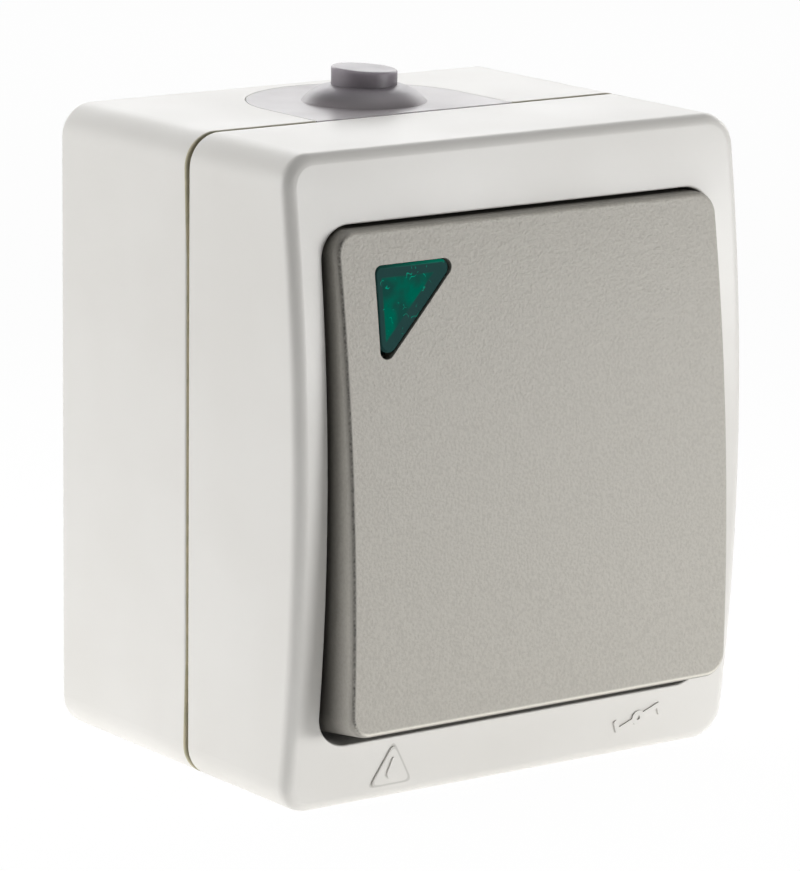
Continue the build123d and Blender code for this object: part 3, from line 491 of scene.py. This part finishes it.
# Rocker: the large key, moulded in warm grey ABS. Its face has a coarse spark-eroded grain, its
# side walls are smooth, and it is clipped onto the tumbler, top in. A painted highlight lightens
# the face's lower edge, and painted shade darkens its left rounding and its side walls deeper in.
rocker_grey = (0.505, 0.482, 0.43, 1)
rocker_pit = (0.455, 0.433, 0.385, 1)
rocker_painted_highlight = (0.85, 0.82, 0.73, 1)
rocker_painted_shade = (0.06, 0.055, 0.048, 1)
rocker_roughness = 0.5
rocker_tilt = radians(4.0)
wall_shallow = 0.0525
wall_deep = 0.048
grain_spot = 0.00036
grain_depth = 0.00009

rocker_finish = new_finish("rocker_plastic", rocker_roughness)
rocker_out = Vector((0, -cos(rocker_tilt), sin(rocker_tilt)))
rocker_up = Vector((0, sin(rocker_tilt), cos(rocker_tilt)))
on_face = ramp(rocker_finish, facing(rocker_finish, rocker_out), 0.6, 0.9)
grain = clouds(rocker_finish, grain_spot, 3)
roughen(rocker_finish, times(rocker_finish, grain, on_face), grain_depth)
rocker_colour = tint(rocker_finish, ramp(rocker_finish, grain, 0.35, 0.6), rocker_pit, rocker_grey)
# Painted highlight: the face's lower rounding, which faces down, is lighter.
lower_edge_highlight = ramp(rocker_finish, facing(rocker_finish, -rocker_up), 0.12, 0.4)
rocker_colour = tint(rocker_finish, times(rocker_finish, lower_edge_highlight, on_face), rocker_colour, rocker_painted_highlight)
# Painted shade: the face's left rounding darkens in grainy spots.
left_facing = facing(rocker_finish, (-1, 0, 0))
left_round_shade = times(rocker_finish, ramp(rocker_finish, left_facing, 0.05, 0.3, 0, 1.4), on_face)
rocker_colour = tint(rocker_finish, times(rocker_finish, left_round_shade, grain), rocker_colour, rocker_painted_shade)
# Painted shade: the side walls darken deeper in.
wall_shade_by_depth = ramp(rocker_finish, along(rocker_finish, rocker_out), wall_shallow, wall_deep, 0.25, 0.85)
on_wall = ramp(rocker_finish, on_face, 1, 0)
rocker_colour = tint(rocker_finish, times(rocker_finish, on_wall, wall_shade_by_depth), rocker_colour, rocker_painted_shade)
colour_with(rocker_finish, rocker_colour)
dress("rocker_button", rocker_finish)

# Indicator lens: a clear green acrylic triangle pressed into the rocker from behind, its lamp side
# cast with a shallow triangle. Painted shade darkens its edge, and painted bright green glints lie
# in a few streaks and along its top edge.
lens_left = -0.02246
lens_top = 0.02503
lens_leg = 0.01215
lens_pivot = 0.0435
lens_edge_shade = (0.026, 0.075, 0.071, 1)
lens_deep = (0.012, 0.085, 0.07, 1)
lens_green = (0.0, 0.16, 0.105, 1)
lens_painted_glint = (0.0, 0.42, 0.27, 1)
lens_roughness = 0.25
left_border = 0.0009
top_border = 0.0014
slope_border = 0.0016
bright_edge = 0.0003
depth_patch = 0.003
glint_spot = 0.0012
streak_spot = 0.0014
streak_thin = 0.006
streak_wide = 0.018
cloud_middle = 0.5
soft_edge = 0.0002

lens_finish = new_finish("lens_acrylic", lens_roughness)
lens_shader = lens_finish.node_tree.nodes["Principled BSDF"]
lens_shader.inputs["Specular IOR Level"].default_value = 0
lens_lift = lens_pivot * sin(rocker_tilt)
across_lens = along(lens_finish, (1, 0, 0))
up_lens = along(lens_finish, rocker_up)
down_slope = along(lens_finish, (Vector((-1, 0, 0)) + rocker_up) / sqrt(2))
slope_at = (lens_top - lens_leg - lens_left - lens_lift) / sqrt(2)
high_at = lens_top - lens_lift
# Painted shade: a dark teal border round the lens.
inside_left = ramp(lens_finish, across_lens, lens_left + left_border, lens_left + left_border + soft_edge)
inside_top = ramp(lens_finish, up_lens, high_at - top_border, high_at - top_border - soft_edge)
inside_slope = ramp(lens_finish, down_slope, slope_at + slope_border, slope_at + slope_border + soft_edge)
inside = times(lens_finish, times(lens_finish, inside_left, inside_top), inside_slope)
depths = ramp(lens_finish, clouds(lens_finish, depth_patch, 3), 0.42, 0.62)
lens_colour = tint(lens_finish, depths, lens_deep, lens_green)
lens_colour = tint(lens_finish, inside, lens_edge_shade, lens_colour)
# Painted glints: bright green streaks in a few patches, and a line along the top edge that grows to the
# right.
wisps = plus(lens_finish, clouds(lens_finish, streak_spot, 1), -cloud_middle)
glint_streaks = ramp(lens_finish, times(lens_finish, wisps, wisps), streak_thin ** 2, streak_wide ** 2, 1, 0)
glint_patches = ramp(lens_finish, clouds(lens_finish, glint_spot, 2), 0.55, 0.62)
lens_colour = tint(lens_finish, times(lens_finish, glint_streaks, glint_patches), lens_colour, lens_painted_glint)
at_top = ramp(lens_finish, up_lens, high_at - bright_edge - soft_edge, high_at - bright_edge)
lit_top = times(lens_finish, at_top, ramp(lens_finish, across_lens, lens_left, lens_left + lens_leg))
lens_colour = tint(lens_finish, lit_top, lens_colour, lens_painted_glint)
colour_with(lens_finish, lens_colour)
dress("indicator_lens", lens_finish)

# Floor: a plain pale table under the switch. The camera sees it nearly white with a faint shadow,
# and close to the switch it throws soft light upwards.
floor_white = (0.8, 0.8, 0.8, 1)
floor_glow = 0.55
glow_near = 0.04
glow_far = 0.3
floor_seen = 0.95
floor_width = 6
floor_roughness = 0.9

bpy.ops.object.select_all(action="DESELECT")
bpy.ops.mesh.primitive_plane_add(size=floor_width, location=(0, 0, cad_box[0][2]))
floor = bpy.context.object
floor.name = "floor"
floor_paint = new_finish("floor_paint", floor_roughness)
nodes = floor_paint.node_tree.nodes
floor_shader = nodes["Principled BSDF"]
floor_shader.inputs["Base Color"].default_value = floor_white
floor_shader.inputs["Specular IOR Level"].default_value = 0
reach = nodes.new("ShaderNodeVectorMath")
reach.operation = "LENGTH"
join(floor_paint, surface_place(floor_paint), reach.inputs[0])
fade = nodes.new("ShaderNodeMapRange")
fade.interpolation_type = "SMOOTHSTEP"
fade.inputs["From Min"].default_value = glow_near
fade.inputs["From Max"].default_value = glow_far
fade.inputs["To Min"].default_value = floor_glow
fade.inputs["To Max"].default_value = 0
join(floor_paint, reach.outputs["Value"], fade.inputs["Value"])
glow = nodes.new("ShaderNodeEmission")
join(floor_paint, fade.outputs["Result"], glow.inputs["Strength"])
lit_floor = nodes.new("ShaderNodeAddShader")
join(floor_paint, floor_shader.outputs["BSDF"], lit_floor.inputs[0])
join(floor_paint, glow.outputs["Emission"], lit_floor.inputs[1])
pale = nodes.new("ShaderNodeEmission")
seen = nodes.new("ShaderNodeLightPath")
seen_share = ramp(floor_paint, seen.outputs["Is Camera Ray"], 0, 1, 0, floor_seen)
seen_floor = nodes.new("ShaderNodeMixShader")
join(floor_paint, seen_share, seen_floor.inputs["Fac"])
join(floor_paint, lit_floor.outputs["Shader"], seen_floor.inputs[1])
join(floor_paint, pale.outputs["Emission"], seen_floor.inputs[2])
join(floor_paint, seen_floor.outputs["Shader"], nodes["Material Output"].inputs["Surface"])
floor.data.materials.append(floor_paint)

# Camera: a long lens from the front left, a little above the switch.
# Its place and angles were fitted to the housing's edges.
view_yaw = radians(35.746)
view_pitch = radians(12.267)
view_roll = radians(0.654)
view_distance = 0.61512
view_target = Vector((0, -0.024, 0))
view_slide = 0.000683
view_lift = -0.001518
lens_length = 210.69
film_width = 36
nearest_view = 0.01

ahead = Vector((sin(view_yaw) * cos(view_pitch), cos(view_yaw) * cos(view_pitch), -sin(view_pitch)))
level = Vector((cos(view_yaw), -sin(view_yaw), 0))
upright = level.cross(ahead)
across = level * cos(view_roll) + upright * sin(view_roll)
upward = upright * cos(view_roll) - level * sin(view_roll)
place = view_target - ahead * view_distance + across * view_slide + upward * view_lift
camera_data = bpy.data.cameras.new("camera")
camera_data.lens = lens_length
camera_data.sensor_width = film_width
camera_data.clip_start = nearest_view
camera = bpy.data.objects.new("camera", camera_data)
bpy.context.scene.collection.objects.link(camera)
turn = Matrix((across, upward, -ahead)).transposed().to_4x4()
camera.matrix_world = Matrix.Translation(place) @ turn
bpy.context.scene.camera = camera

# Studio lamps: soft boxes to the left, the right, behind and above, as in a light tent.
# The camera's side stays dark, which draws the housing's front edge.
flat_ahead = Vector((sin(view_yaw), cos(view_yaw), 0))
up = Vector((0, 0, 1))
lamp_rise = 0.05


def softbox(name, direction, distance, width, height, radiance):
    """A soft area lamp that faces the switch from one side."""
    lamp = bpy.data.lights.new(name, "AREA")
    lamp.shape = "RECTANGLE"
    lamp.size = width
    lamp.size_y = height
    lamp.energy = radiance * pi * width * height
    rig = bpy.data.objects.new(name, lamp)
    rig.location = view_target + direction.normalized() * distance
    rig.rotation_euler = direction.to_track_quat("Z", "Y").to_euler()
    rig.visible_camera = False
    bpy.context.scene.collection.objects.link(rig)


def from_right(angle):
    """The level direction this many degrees in front of the switch's right side. Its reverse lies as
    many degrees behind the left side."""
    return Vector((cos(radians(angle)), -sin(radians(angle)), 0))


softbox("left_softbox", up * lamp_rise - from_right(30),
        distance=0.6, width=0.45, height=0.6, radiance=4.1)
softbox("right_softbox", up * lamp_rise + from_right(57),
        distance=0.5, width=0.16, height=0.12, radiance=13.4)
softbox("right_low_softbox", from_right(46), distance=0.5, width=0.25, height=0.06, radiance=10.2)
softbox("back_softbox", up * 0.5 + flat_ahead, distance=0.8, width=1.6, height=0.4, radiance=2.45)
softbox("top_softbox", up, distance=0.8, width=0.8, height=0.8, radiance=0.95)

# Backdrop: a plain white wall behind the switch, which the camera, gloss and glass see.
# It is dark on the camera's side and lights nothing by itself.
wall_white = (1, 1, 1, 1)
wall_starts = 0.2
wall_full = 0.8

world = bpy.data.worlds.new("studio")
bpy.context.scene.world = world
world.use_nodes = True
nodes = world.node_tree.nodes
links = world.node_tree.links
wall_seen = nodes.new("ShaderNodeLightPath")
mirrored = nodes.new("ShaderNodeMath")
mirrored.operation = "MAXIMUM"
links.new(wall_seen.outputs["Is Glossy Ray"], mirrored.inputs[0])
links.new(wall_seen.outputs["Is Transmission Ray"], mirrored.inputs[1])
toward = nodes.new("ShaderNodeTexCoord")
behind = nodes.new("ShaderNodeVectorMath")
behind.operation = "DOT_PRODUCT"
behind.inputs[1].default_value = flat_ahead
links.new(toward.outputs["Generated"], behind.inputs[0])
wall_side = nodes.new("ShaderNodeMapRange")
wall_side.inputs["From Min"].default_value = wall_starts
wall_side.inputs["From Max"].default_value = wall_full
links.new(behind.outputs["Value"], wall_side.inputs["Value"])
wall_gloss = nodes.new("ShaderNodeMath")
wall_gloss.operation = "MULTIPLY"
links.new(mirrored.outputs["Value"], wall_gloss.inputs[0])
links.new(wall_side.outputs["Result"], wall_gloss.inputs[1])
wall_level = nodes.new("ShaderNodeMath")
wall_level.operation = "MAXIMUM"
links.new(wall_seen.outputs["Is Camera Ray"], wall_level.inputs[0])
links.new(wall_gloss.outputs["Value"], wall_level.inputs[1])
backdrop = nodes["Background"]
backdrop.inputs["Color"].default_value = wall_white
links.new(wall_level.outputs["Value"], backdrop.inputs["Strength"])
bpy.context.scene.view_settings.view_transform = "Standard"
